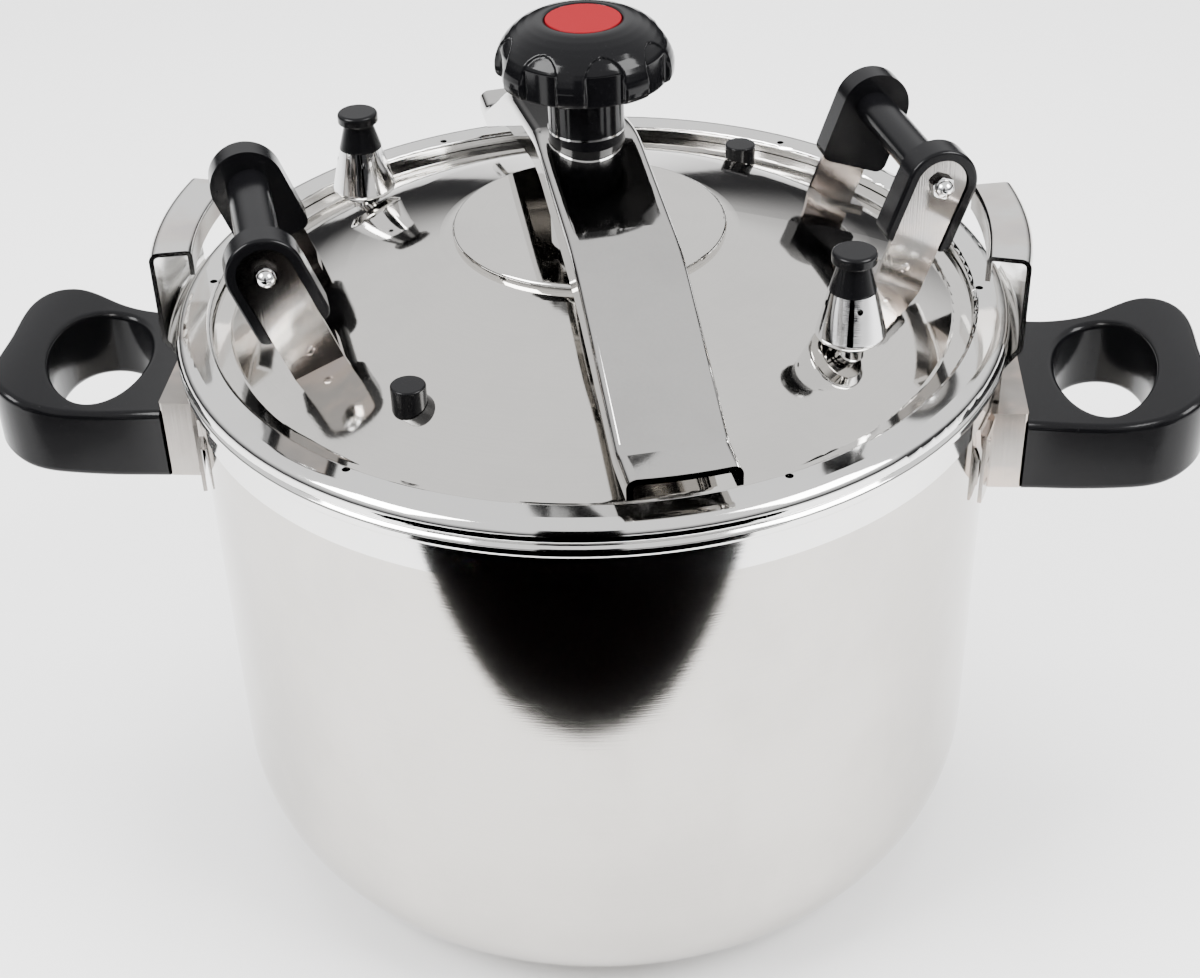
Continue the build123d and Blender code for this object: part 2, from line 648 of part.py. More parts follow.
def valve_weight():
    """Steel weight over the pipe, with four side vents and a blind bore."""
    outline = FilletPolyline(
        (0, WEIGHT_LOW_Z), (WEIGHT_LOW_R, WEIGHT_LOW_Z), (WEIGHT_WIDE_R, WEIGHT_WIDE_Z),
        (WEIGHT_TOP_R, WEIGHT_TOP_Z), (0, WEIGHT_TOP_Z), close=True, radius=[0, 0.8, 2.5, 0, 0],
    )
    body = turned(make_face(outline))
    body -= tube(STEM_COLLAR_R + 0.8, WEIGHT_LOW_Z - 1, WEIGHT_LOW_Z + 1)
    body -= tube(WEIGHT_BORE_R, WEIGHT_LOW_Z - 1, WEIGHT_BORE_Z)
    for number in range(4):
        drill = Rot(0, 0, 45 + 90 * number) * Pos(10, 0, WEIGHT_VENT_Z) * Rot(0, 90, 0)
        body -= drill * Cylinder(WEIGHT_VENT_R, 20)
    return body


def valve_cap():
    """Moulded cap of a valve: a waisted neck under a round button."""
    outline = FilletPolyline(
        (0, WEIGHT_TOP_Z), (WEIGHT_TOP_R, WEIGHT_TOP_Z), (CAP_NECK_R, CAP_NECK_Z),
        (CAP_HEAD_R, CAP_NECK_Z + 1.2), (CAP_HEAD_R, CAP_TOP_Z), (0, CAP_TOP_Z), close=True,
        radius=[0, 0.6, 0.8, 0.8, 1.8, 0],
    )
    return turned(make_face(outline))


def plug_socket():
    """Threaded socket of a safety plug, seated on the dome, with a shank through the lid."""
    socket = tube(SOCKET_R, 300, SOCKET_TOP_Z) - Pos(-FITTING_R, 0, 0) * dome_block()
    socket += tube(SLOT_R, FITTING_Z - 12, SOCKET_TOP_Z)
    return socket - tube(PLUG_BORE_R, 200, 400)


def plug_nut():
    """Nut of a safety plug, bored for the shank of its socket."""
    return fitting_nut() - tube(SLOT_R, 200, 400)


def safety_plug():
    """Moulded safety plug: round cap over the socket, cut to the dome, and a stem through both."""
    cap = fillet(tube(PLUG_R, 300, PLUG_TOP_Z).edges().sort_by(Axis.Z)[-1], 0.9)
    cap -= Pos(-FITTING_R, 0, 0) * dome_block(PLUG_GAP)
    cap -= tube(SOCKET_R + 0.6, 300, SOCKET_TOP_Z + 0.8)
    return cap + tube(PLUG_STEM_R, PLUG_KEEP_Z - 3, PLUG_TOP_Z - 2)


def plug_keeper():
    """Ring on the plug's stem that limits how far it lifts."""
    return tube(6.2, PLUG_KEEP_Z - 2.4, PLUG_KEEP_Z, PLUG_STEM_R)


def on_lid(shape, azimuth, radius=0.0):
    """Places a piece at an azimuth of the lid, with the lid as it stands."""
    return Rot(0, 0, LID_TURN + azimuth) * Pos(radius, 0, 0) * shape


def write_pot():
    """Pot, rim ring, ears, saddles, brackets and side handles."""
    save("pot_body", pot_body())
    save("rim_ring", rim_ring())
    for name, right in (("right", True), ("left", False)):
        save(f"saddle_{name}", side(saddle(), right))
        save(f"ear_{name}", side(ear(), right))
        save(f"handle_bracket_{name}", side(bracket(), right))
        save(f"side_handle_{name}", side(side_handle(), right))
        save(f"side_handle_bolts_{name}", *[side(bolt, right) for bolt in handle_bolts()])


def write_lid():
    """Gasket, lid, welded disc, seat of the screw, and the two lid handles."""
    save("gasket", gasket())
    save("lid_shell", on_lid(lid_shell(), 0))
    save("centre_disc", centre_disc())
    save("screw_seat", screw_seat())
    save("seat_keeper", seat_keeper())
    for name, half in (("a", 0), ("b", 180)):
        for number, way in ((1, -1), (2, 1)):
            save(f"grip_strip_{name}{number}", on_lid(handle_strip(half, way), 0))
            save(f"grip_cap_{name}{number}", on_lid(grip_cap(half, way), 0))
        save(f"grip_bar_{name}", on_lid(grip_bar(half), 0))
        save(f"grip_bolt_{name}", on_lid(grip_bolt(half), 0))


def write_fittings():
    """Two pressure valves and two safety plugs."""
    for name, half in (("a", 0), ("b", 180)):
        valve = VALVE_AZIMUTH + half
        plug = PLUG_AZIMUTH + half
        save(f"valve_stem_{name}", on_lid(valve_stem(), valve, FITTING_R))
        save(f"valve_nut_{name}", on_lid(valve_nut(), valve, FITTING_R))
        save(f"valve_weight_{name}", on_lid(valve_weight(), valve, FITTING_R))
        save(f"valve_cap_{name}", on_lid(valve_cap(), valve, FITTING_R))
        save(f"plug_socket_{name}", on_lid(plug_socket(), plug, FITTING_R))
        save(f"plug_nut_{name}", on_lid(plug_nut(), plug, FITTING_R))
        save(f"safety_plug_{name}", on_lid(safety_plug(), plug, FITTING_R))
        save(f"plug_keeper_{name}", on_lid(plug_keeper(), plug, FITTING_R))


def write_clamp():
    """Beam with its nut, and the screw with its knob."""
    save("beam", on_lid(beam(), 90))
    save("beam_nut", on_lid(beam_nut(), 90))
    save("screw", screw())
    save("sleeve_base", on_lid(sleeve_base(), 90))
    save("sleeve_ring", sleeve_ring())
    save("sleeve", sleeve())
    save("knob_head", on_lid(knob_head(), 0))
    save("knob_badge", knob_badge())
    save("knob_nut", knob_nut())


os.makedirs("parts", exist_ok=True)
write_pot()
write_lid()
write_fittings()
write_clamp()
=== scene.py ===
"""Finishes, fine detail, floor, light and camera for a large clamped stovetop pressure cooker."""

import logging
import math
from dataclasses import dataclass, field
from enum import Enum
from typing import Iterable

import bmesh
import bpy
from mathutils import Matrix, Vector


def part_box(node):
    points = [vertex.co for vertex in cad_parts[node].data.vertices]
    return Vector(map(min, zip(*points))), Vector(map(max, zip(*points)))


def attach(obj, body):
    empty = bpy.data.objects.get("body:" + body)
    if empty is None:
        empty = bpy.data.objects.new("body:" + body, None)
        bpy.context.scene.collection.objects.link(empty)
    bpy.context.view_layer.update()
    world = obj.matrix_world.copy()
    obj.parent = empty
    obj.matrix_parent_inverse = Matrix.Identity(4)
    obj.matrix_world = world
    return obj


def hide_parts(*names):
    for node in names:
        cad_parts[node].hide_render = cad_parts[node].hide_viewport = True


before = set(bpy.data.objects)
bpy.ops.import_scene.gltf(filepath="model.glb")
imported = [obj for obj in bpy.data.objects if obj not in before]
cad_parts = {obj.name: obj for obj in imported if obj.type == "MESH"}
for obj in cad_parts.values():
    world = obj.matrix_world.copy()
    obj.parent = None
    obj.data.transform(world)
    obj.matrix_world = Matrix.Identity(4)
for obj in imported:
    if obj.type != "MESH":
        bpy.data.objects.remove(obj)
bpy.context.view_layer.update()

LOG = logging.getLogger("pressure_cooker")
MM = 0.001


class Grain(Enum):
    """Which way the polishing lines of a steel finish run."""

    AROUND = "rings about the upright axis, one above another"
    CONCENTRIC = "rings about the upright axis, one inside another"
    UPRIGHT = "lines along Z"


class Tree:
    """A node tree being built, with short ways to add and join nodes."""

    def __init__(self, tree: bpy.types.NodeTree) -> None:
        """Takes over a tree and empties it.

        Args:
            tree: the node tree to fill.
        """
        self.tree = tree
        tree.nodes.clear()

    def add(self, kind: str, inputs: dict | None = None, **settings: object) -> bpy.types.Node:
        """Adds one node.

        Args:
            kind: the node's type name.
            inputs: socket name or number to a value, or to an output socket to join.
            settings: plain properties of the node.

        Returns:
            The new node.
        """
        node = self.tree.nodes.new(kind)
        for name, value in settings.items():
            setattr(node, name, value)
        for name, value in (inputs or {}).items():
            socket = node.inputs[name]
            if isinstance(value, bpy.types.NodeSocket):
                self.tree.links.new(value, socket)
            else:
                socket.default_value = value
        return node

    def math(self, operation: str, *values: object) -> bpy.types.NodeSocket:
        """Adds a Math node and returns its result."""
        inputs = dict(enumerate(values))
        return self.add("ShaderNodeMath", inputs, operation=operation).outputs[0]

    def ramp(self, value: bpy.types.NodeSocket, low: float, high: float) -> bpy.types.NodeSocket:
        """Maps a 0 to 1 value to the range from low to high."""
        node = self.add("ShaderNodeMapRange", {"Value": value, "To Min": low, "To Max": high})
        return node.outputs["Result"]

    def band(self, value: bpy.types.NodeSocket, low: float, high: float) -> bpy.types.NodeSocket:
        """Turns a value into 0 below low and 1 above high, with a smooth step between."""
        node = self.add(
            "ShaderNodeMapRange",
            {"Value": value, "From Min": low, "From Max": high},
            interpolation_type="SMOOTHSTEP",
        )
        return node.outputs["Result"]

    def noise(
        self, vector: bpy.types.NodeSocket, scale: float, detail: float = 4.0, rough: float = 0.5
    ) -> bpy.types.NodeSocket:
        """Adds a noise texture and returns its factor."""
        inputs = {"Vector": vector, "Scale": scale, "Detail": detail, "Roughness": rough}
        return self.add("ShaderNodeTexNoise", inputs).outputs[0]

    def stretch(
        self, vector: bpy.types.NodeSocket, scale: Iterable[float]
    ) -> bpy.types.NodeSocket:
        """Scales a vector by a different amount along each axis."""
        node = self.add("ShaderNodeMapping", {"Vector": vector, "Scale": tuple(scale)})
        return node.outputs[0]

    def blend(
        self, factor: object, low: tuple[float, ...], high: tuple[float, ...]
    ) -> bpy.types.NodeSocket:
        """Mixes two colours, or an earlier colour and a new one."""
        node = self.add("ShaderNodeMix", {"Factor": factor}, data_type="RGBA")
        for socket, value in ((node.inputs[6], low), (node.inputs[7], high)):
            if isinstance(value, bpy.types.NodeSocket):
                self.tree.links.new(value, socket)
            else:
                socket.default_value = (*value, 1.0)
        return node.outputs[2]

    def bump(
        self, height: bpy.types.NodeSocket, strength: float, distance: float, below: object = None
    ) -> bpy.types.NodeSocket:
        """Adds a bump over an optional earlier one and returns its normal."""
        inputs = {"Height": height, "Strength": strength, "Distance": distance}
        if below is not None:
            inputs["Normal"] = below
        return self.add("ShaderNodeBump", inputs).outputs[0]


@dataclass(frozen=True)
class Finish:
    """What every finish has: a name and a way to make its material."""

    name: str

    def paint(self, tree: Tree, place: bpy.types.NodeSocket) -> dict:
        """Returns the inputs of the surface shader. Each finish has its own."""
        raise NotImplementedError

    def material(self) -> bpy.types.Material:
        """Builds the material on first use and returns it.

        Returns:
            The material of this finish.
        """
        found = bpy.data.materials.get(self.name)
        if found is not None:
            return found
        made = bpy.data.materials.new(self.name)
        made.use_nodes = True
        tree = Tree(made.node_tree)
        place = tree.add("ShaderNodeTexCoord").outputs["Object"]
        shader = tree.add("ShaderNodeBsdfPrincipled", self.paint(tree, place))
        tree.add("ShaderNodeOutputMaterial", {"Surface": shader.outputs[0]})
        return made


@dataclass(frozen=True)
class PolishedSteel(Finish):
    """Stainless steel, from mirror to satin, with polishing lines, smudges and hairline marks."""

    tint: tuple[float, float, float] = (0.84, 0.835, 0.82)
    shade: tuple[float, float, float] = (0.76, 0.75, 0.735)
    rough_low: float = 0.04
    rough_high: float = 0.1
    grain: Grain = Grain.AROUND
    line_depth: float = 0.02
    lines_per_metre: float = 900.0
    heat: float = 0.0
    wobble: float = 0.0

    def line_space(self, tree: Tree, place: bpy.types.NodeSocket) -> bpy.types.NodeSocket:
        """Stretches space so that noise becomes fine lines along the grain."""
        fine = self.lines_per_metre
        if self.grain is Grain.CONCENTRIC:
            flat = tree.stretch(place, (1.0, 1.0, 0.0))
            length = tree.add("ShaderNodeVectorMath", {0: flat}, operation="LENGTH")
            parts = tree.add("ShaderNodeSeparateXYZ", {0: place})
            inputs = {
                "X": tree.math("MULTIPLY", length.outputs["Value"], fine),
                "Y": tree.math("MULTIPLY", parts.outputs["X"], 9.0),
                "Z": tree.math("MULTIPLY", parts.outputs["Y"], 9.0),
            }
            return tree.add("ShaderNodeCombineXYZ", inputs).outputs[0]
        scales = {
            Grain.AROUND: (6.0, 6.0, fine),
            Grain.UPRIGHT: (fine, fine, 9.0),
        }
        return tree.stretch(place, scales[self.grain])

    def paint(self, tree: Tree, place: bpy.types.NodeSocket) -> dict:
        """Returns the inputs of the surface shader for steel."""
        lines = tree.noise(self.line_space(tree, place), 1.0, 3.0, 0.6)
        smudge = tree.noise(tree.stretch(place, (1.0, 1.3, 0.8)), 11.0, 5.0, 0.62)
        worn = tree.band(smudge, 0.42, 0.7)
        hair = tree.noise(tree.stretch(place, (900.0, 60.0, 90.0)), 1.0, 2.0)
        marks = tree.band(hair, 0.7, 0.78)
        mixed = tree.math("MULTIPLY_ADD", lines, 0.45, tree.math("MULTIPLY", worn, 0.55))
        rough = tree.math("ADD", tree.ramp(mixed, self.rough_low, self.rough_high),
                          tree.math("MULTIPLY", marks, 0.03))
        colour = tree.blend(tree.math("MULTIPLY", mixed, 0.8), self.tint, self.shade)
        if self.heat:
            stain = tree.noise(tree.stretch(place, (1.0, 1.0, 1.6)), 26.0, 3.0)
            warm = tree.math("MULTIPLY", tree.band(stain, 0.44, 0.66), self.heat)
            colour = tree.blend(warm, colour, (0.66, 0.53, 0.45))
            edge = tree.math("MULTIPLY", tree.band(stain, 0.6, 0.74), self.heat * 0.5)
            colour = tree.blend(edge, colour, (0.45, 0.42, 0.5))
        normal = tree.bump(lines, self.line_depth, 0.0002)
        if self.wobble:
            swell = tree.noise(place, 14.0, 1.0)
            normal = tree.bump(swell, self.wobble, 0.002, normal)
        return {
            "Base Color": colour, "Metallic": 1.0, "Roughness": rough, "Normal": normal,
        }


@dataclass(frozen=True)
class Moulding(Finish):
    """Moulded plastic with a gloss skin, faint flow marks and fine dust-like pits."""

    tint: tuple[float, float, float] = (0.003, 0.003, 0.0035)
    rough_low: float = 0.13
    rough_high: float = 0.26
    coat: float = 0.04
    pits: float = 0.06

    def paint(self, tree: Tree, place: bpy.types.NodeSocket) -> dict:
        """Returns the inputs of the surface shader for moulded plastic."""
        flow = tree.noise(tree.stretch(place, (1.0, 1.0, 2.0)), 30.0, 4.0)
        grain = tree.noise(place, 2600.0, 2.0)
        dust = tree.band(tree.noise(place, 900.0, 3.0), 0.66, 0.76)
        lighter = tuple(min(1.0, part * 1.5 + 0.012) for part in self.tint)
        colour = tree.blend(tree.math("MULTIPLY", dust, 0.5), self.tint, lighter)
        rough = tree.math("ADD", tree.ramp(flow, self.rough_low, self.rough_high),
                          tree.math("MULTIPLY", dust, 0.08))
        normal = tree.bump(grain, self.pits, 0.0001)
        return {
            "Base Color": colour, "Roughness": rough, "Normal": normal,
            "Coat Weight": self.coat, "Coat Roughness": 0.08, "IOR": 1.5,
            "Specular IOR Level": 0.16,
        }


@dataclass(frozen=True)
class Rubber(Finish):
    """Pale silicone with a soft bloom."""

    tint: tuple[float, float, float] = (0.72, 0.7, 0.66)

    def paint(self, tree: Tree, place: bpy.types.NodeSocket) -> dict:
        """Returns the inputs of the surface shader for rubber."""
        bloom = tree.noise(place, 60.0, 5.0)
        colour = tree.blend(bloom, self.tint, tuple(part * 0.82 for part in self.tint))
        grain = tree.noise(place, 1500.0, 2.0)
        return {
            "Base Color": colour, "Roughness": tree.ramp(bloom, 0.5, 0.75),
            "Normal": tree.bump(grain, 0.1, 0.0002),
        }


@dataclass(frozen=True)
class Ground(Finish):
    """Plain pale studio floor."""

    tint: tuple[float, float, float] = (0.93, 0.93, 0.93)

    def paint(self, tree: Tree, place: bpy.types.NodeSocket) -> dict:
        """Returns the inputs of the surface shader for the floor."""
        mottle = tree.noise(place, 3.0, 2.0)
        colour = tree.blend(mottle, self.tint, tuple(part * 0.985 for part in self.tint))
        return {"Base Color": colour, "Roughness": 0.7}


POT_STEEL = PolishedSteel(
    "pot_satin_steel", (0.58, 0.555, 0.52), (0.46, 0.44, 0.415), 0.06, 0.11, Grain.AROUND, 0.04,
    1500.0,
)
RIM_STEEL = PolishedSteel("rim_polished_steel", rough_low=0.05, rough_high=0.12, line_depth=0.03)
LID_STEEL = PolishedSteel(
    "lid_mirror_steel", (0.76, 0.74, 0.71), (0.66, 0.645, 0.62), 0.035, 0.1, Grain.CONCENTRIC,
    0.025, 1100.0, wobble=0.03,
)
EAR_STEEL = PolishedSteel(
    "ear_polished_steel", rough_low=0.08, rough_high=0.2, grain=Grain.UPRIGHT, line_depth=0.08,
    heat=0.35, wobble=0.06,
)
BEAM_STEEL = PolishedSteel(
    "beam_mirror_steel", (0.58, 0.57, 0.555), (0.48, 0.47, 0.46), 0.03, 0.09, Grain.UPRIGHT, 0.02,
    700.0, wobble=0.05,
)
BRACKET_STEEL = PolishedSteel(
    "bracket_tinted_steel", (0.4, 0.375, 0.35), (0.25, 0.23, 0.21), 0.14, 0.28, Grain.UPRIGHT,
    0.14, 1300.0, heat=0.55,
)
STRIP_STEEL = PolishedSteel(
    "strip_tinted_steel", (0.42, 0.405, 0.39), (0.26, 0.245, 0.235), 0.08, 0.22, Grain.UPRIGHT,
    0.1, 1300.0, heat=0.4,
)
FITTING_STEEL = PolishedSteel(
    "fitting_turned_steel", (0.86, 0.86, 0.86), (0.78, 0.78, 0.78), 0.04, 0.1, Grain.AROUND, 0.05,
    2600.0,
)
HANDLE_BLACK = Moulding("handle_black_moulding")
KNOB_BLACK = Moulding("knob_black_moulding", rough_low=0.08, rough_high=0.16, coat=0.06)
VALVE_BLACK = Moulding("valve_black_moulding", rough_low=0.16, rough_high=0.26, coat=0.03)
BADGE_RED = Moulding("badge_red_matt", (0.17, 0.001, 0.005), 0.42, 0.55, 0.0, 0.25)
SEAL = Rubber("seal_pale_silicone")
FLOOR = Ground("studio_floor")


def dress(nodes: Iterable[str], finish: Finish) -> None:
    """Gives CAD nodes a finish.

    Args:
        nodes: names of the nodes, or beginnings of names that end in an underscore.
        finish: the finish they get.
    """
    for wanted in nodes:
        for name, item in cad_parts.items():
            if name == wanted or (wanted.endswith("_") and name.startswith(wanted)):
                item.data.materials.clear()
                item.data.materials.append(finish.material())
                LOG.info("%s: %s", name, finish.name)


def new_piece(name: str, mesh: bpy.types.Mesh, finish: Finish) -> bpy.types.Object:
    """Makes a smooth-shaded object of a mesh, at the origin.

    Args:
        name: the piece's name.
        mesh: its mesh, already in place.
        finish: its finish.

    Returns:
        The object, linked to the scene.
    """
    item = bpy.data.objects.new(name, mesh)
    bpy.context.scene.collection.objects.link(item)
    mesh.materials.clear()
    mesh.materials.append(finish.material())
    for face in mesh.polygons:
        face.use_smooth = True
    return item


class SpotRow:
    """Geometry Nodes tree for a row of round, slightly raised weld spots."""

    def __init__(self) -> None:
        """Builds the tree with its named inputs."""
        tree = bpy.data.node_groups.new("weld_spot_row", "GeometryNodeTree")
        face = tree.interface
        self.sockets: dict[str, str] = {}
        kinds = {
            "Count": "NodeSocketInt", "Pitch": "NodeSocketFloat", "Radius": "NodeSocketFloat",
            "Height": "NodeSocketFloat", "Seed": "NodeSocketInt", "Finish": "NodeSocketMaterial",
        }
        for name, kind in kinds.items():
            self.sockets[name] = face.new_socket(name, in_out="INPUT", socket_type=kind).identifier
        face.new_socket("Geometry", in_out="OUTPUT", socket_type="NodeSocketGeometry")
        build = Tree(tree)
        given = build.add("NodeGroupInput").outputs
        step = build.add("ShaderNodeCombineXYZ", {"X": given["Pitch"]}).outputs[0]
        line = build.add("GeometryNodeMeshLine", {"Count": given["Count"], "Offset": step})
        ball = build.add("GeometryNodeMeshUVSphere", {"Segments": 20, "Rings": 10, "Radius": 1.0})
        size = build.add(
            "ShaderNodeCombineXYZ",
            {"X": given["Radius"], "Y": given["Radius"], "Z": given["Height"]},
        ).outputs[0]
        change = build.add(
            "FunctionNodeRandomValue", {2: 0.88, 3: 1.08, "Seed": given["Seed"]}, data_type="FLOAT"
        ).outputs[1]
        varied = build.add(
            "ShaderNodeVectorMath", {0: size, "Scale": change}, operation="SCALE"
        ).outputs[0]
        spots = build.add(
            "GeometryNodeInstanceOnPoints",
            {"Points": line.outputs[0], "Instance": ball.outputs[0], "Scale": varied},
        )
        solid = build.add("GeometryNodeRealizeInstances", {0: spots.outputs[0]})
        smooth = build.add("GeometryNodeSetShadeSmooth", {0: solid.outputs[0]})
        painted = build.add(
            "GeometryNodeSetMaterial", {"Geometry": smooth.outputs[0], "Material": given["Finish"]}
        )
        build.add("NodeGroupOutput", {0: painted.outputs[0]})
        self.tree = tree

    def make(self, values: dict, place: Matrix) -> bpy.types.Mesh:
        """Runs the tree and returns its result as a plain mesh.

        Args:
            values: input name to value.
            place: where the row starts and how it is turned.

        Returns:
            The mesh, in place.
        """
        holder = bpy.data.objects.new("spot_holder", bpy.data.meshes.new("spot_holder"))
        bpy.context.scene.collection.objects.link(holder)
        modifier = holder.modifiers.new("spots", "NODES")
        modifier.node_group = self.tree
        for name, value in values.items():
            modifier[self.sockets[name]] = value
        graph = bpy.context.evaluated_depsgraph_get()
        mesh = bpy.data.meshes.new_from_object(holder.evaluated_get(graph))
        holder.modifiers.remove(modifier)
        bpy.data.objects.remove(holder)
        mesh.transform(place)
        return mesh


def joined(name: str, meshes: Iterable[bpy.types.Mesh]) -> bpy.types.Mesh:
    """Puts several meshes into one.

    Args:
        name: the new mesh's name.
        meshes: what goes into it.

    Returns:
        The new mesh.
    """
    whole = bmesh.new()
    for part in meshes:
        whole.from_mesh(part)
    mesh = bpy.data.meshes.new(name)
    whole.to_mesh(mesh)
    whole.free()
    return mesh


@dataclass
class Pot:
    """Pot with its rim ring, ears, brackets and side handles."""

    spot_radius: float = 2.2 * MM
    spot_height: float = 0.45 * MM
    spots_per_tab: int = 3
    tab_pitch: float = 12.0 * MM
    tab_azimuth: float = 16.9
    tab_reach: float = 204.0 * MM

    def finishes(self) -> None:
        """Dresses the CAD nodes of the pot."""
        dress(["pot_body"], POT_STEEL)
        dress(["rim_ring"], RIM_STEEL)
        dress(["ear_left", "ear_right"], EAR_STEEL)
        dress(["handle_bracket_", "saddle_"], BRACKET_STEEL)
        dress(["side_handle_left", "side_handle_right"], HANDLE_BLACK)
        dress(["side_handle_bolts_"], FITTING_STEEL)

    def weld_spots(self, row: SpotRow) -> None:
        """Adds a column of weld spots on each tab of both brackets.

        Args:
            row: the tree that makes a row of spots.
        """
        low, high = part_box("handle_bracket_right")
        middle = (low.z + high.z) / 2
        start = middle - (self.spots_per_tab - 1) / 2 * self.tab_pitch
        parts = []
        for number, azimuth in enumerate(
            half + sign * self.tab_azimuth for half in (0, 180) for sign in (1, -1)
        ):
            values = {
                "Count": self.spots_per_tab, "Pitch": self.tab_pitch, "Radius": self.spot_radius,
                "Height": self.spot_height, "Seed": number, "Finish": BRACKET_STEEL.material(),
            }
            place = (
                Matrix.Rotation(math.radians(azimuth), 4, "Z")
                @ Matrix.Translation((self.tab_reach, 0, start))
                @ Matrix.Rotation(math.radians(-90), 4, "Y")
            )
            parts.append(row.make(values, place))
        spots = new_piece("bracket_weld_spots", joined("bracket_weld_spots", parts), BRACKET_STEEL)
        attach(spots, "pot")
        LOG.info("bracket_weld_spots: %d", 4 * self.spots_per_tab)

    def build(self, row: SpotRow) -> None:
        """Makes and dresses everything on the pot."""
        self.finishes()
        self.weld_spots(row)


@dataclass
class Lid:
    """Lid with its gasket, disc, screw seat, handles and fixed fittings."""

    lid_turn: float = 15.0
    grip_azimuth: float = 1.8
    foot_reach: float = 142.5 * MM
    foot_height: float = 327.1 * MM
    lean: float = 20.0
    strip_face: float = 52.1 * MM
    mark_radius: float = 2.4 * MM
    mark_height: float = 0.5 * MM
    mark_rise: float = 7.0 * MM
    mark_seed: int = 7

    def finishes(self) -> None:
        """Dresses the CAD nodes of the lid."""
        dress(["lid_shell", "centre_disc"], LID_STEEL)
        dress(["gasket"], SEAL)
        dress(["grip_strip_"], STRIP_STEEL)
        dress(["grip_cap_", "grip_bar_"], HANDLE_BLACK)
        dress(["grip_bolt_", "screw_seat", "seat_keeper"], FITTING_STEEL)
        dress(["valve_stem_", "valve_nut_", "plug_socket_", "plug_nut_"], FITTING_STEEL)

    def strip_marks(self, row: SpotRow) -> None:
        """Adds the small round weld mark on the outside of each handle strip."""
        parts = []
        for half in (0, 180):
            for way in (1, -1):
                values = {
                    "Count": 1, "Pitch": self.mark_radius, "Radius": self.mark_radius,
                    "Height": self.mark_height, "Seed": self.mark_seed,
                    "Finish": STRIP_STEEL.material(),
                }
                angle = math.radians(self.lid_turn + self.grip_azimuth + half)
                place = (
                    Matrix.Rotation(angle, 4, "Z")
                    @ Matrix.Translation((self.foot_reach, 0, self.foot_height))
                    @ Matrix.Rotation(math.radians(self.lean), 4, "Y")
                    @ Matrix.Translation((0, way * self.strip_face, self.mark_rise))
                    @ Matrix.Rotation(math.radians(90), 4, "X")
                )
                parts.append(row.make(values, place))
        marks = new_piece("grip_strip_marks", joined("grip_strip_marks", parts), STRIP_STEEL)
        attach(marks, "lid")
        LOG.info("grip_strip_marks: 4")

    def build(self, row: SpotRow) -> None:
        """Makes and dresses everything on the lid."""
        self.finishes()
        self.strip_marks(row)


